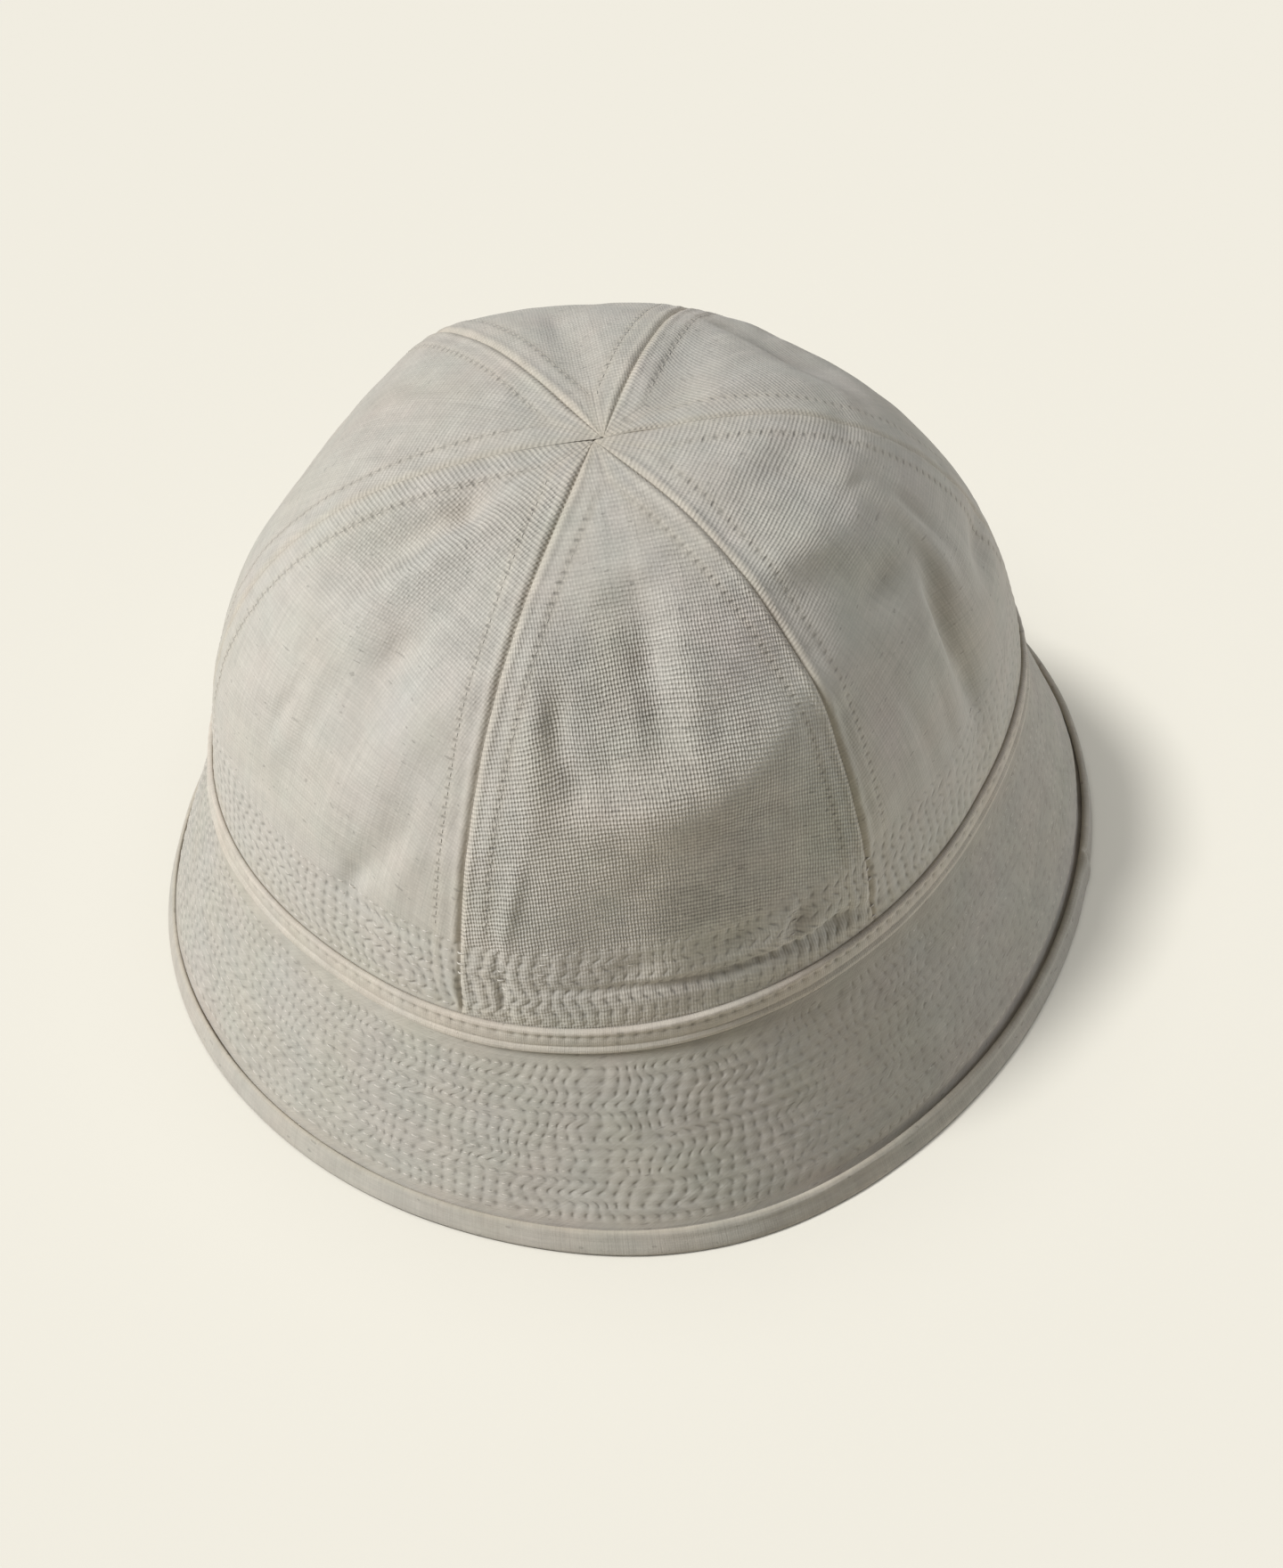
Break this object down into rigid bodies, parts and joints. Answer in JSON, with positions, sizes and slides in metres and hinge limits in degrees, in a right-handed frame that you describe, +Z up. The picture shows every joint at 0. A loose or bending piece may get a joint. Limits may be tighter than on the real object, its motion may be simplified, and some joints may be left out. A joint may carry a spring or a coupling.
{
  "type": "sailor cap with its stitched brim turned down",
  "caption": "Soft canvas cap with a domed crown of sewn panels and a steep, ring-stitched brim turned down all round, edged with a plain hem.",
  "frame": {"origin": "on the surface the cap stands on, under the middle of its box", "axes": "+Z up through the crown, -Y out of the front panel, +X to the right of someone who looks at the front panel"},
  "size_m": [0.2408, 0.2348, 0.1622],
  "materials": {
    "canvas": "unbleached cotton canvas, coarse plain weave, matt",
    "quilted_canvas": "the same canvas in two layers, puckered between rings of stitches, matt",
    "tape_cloth": "folded cotton tape, smoother and a little warmer, matt",
    "binding_cloth": "plain folded canvas hem, matt"
  },
  "bodies": {
    "root": {"crown_panel_front": "canvas", "crown_panel_front_left": "canvas", "crown_panel_back_left": "canvas", "crown_panel_back": "canvas", "crown_panel_back_right": "canvas", "crown_panel_front_right": "canvas", "seam_tape": "tape_cloth", "brim": "quilted_canvas", "brim_binding": "binding_cloth"}
  },
  "joints": []
}
